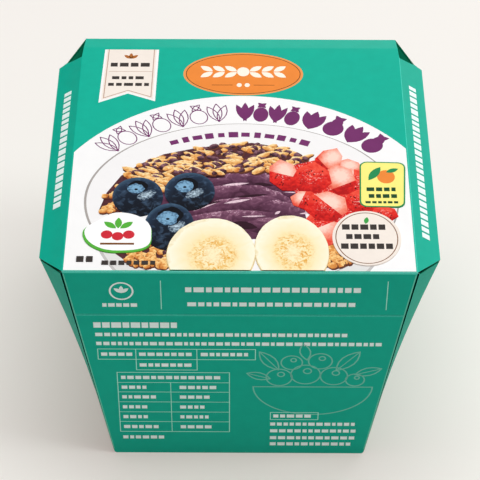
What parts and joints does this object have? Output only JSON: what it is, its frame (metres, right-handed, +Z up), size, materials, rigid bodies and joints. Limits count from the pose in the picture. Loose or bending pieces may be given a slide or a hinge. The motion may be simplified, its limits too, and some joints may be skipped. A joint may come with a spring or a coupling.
{
  "type": "frozen food carton",
  "caption": "Shut printed folding carton for a frozen fruit and cereal bowl, with a flat top, sloping side flaps and walls that narrow to the foot.",
  "frame": {"origin": "on the floor, below the middle of the carton's bounding box", "axes": "+X to the right as seen from the front and along the longest extent, +Y to the back, +Z up and along the shortest extent"},
  "size_m": [0.1308, 0.124, 0.095],
  "materials": {
    "printed_board": "green printed paperboard with a satin varnish and pale raw edges",
    "printed_ink": "printed fields of white and other colours under the same satin varnish"
  },
  "bodies": {
    "root": {"carton": "printed_board"}
  },
  "joints": []
}
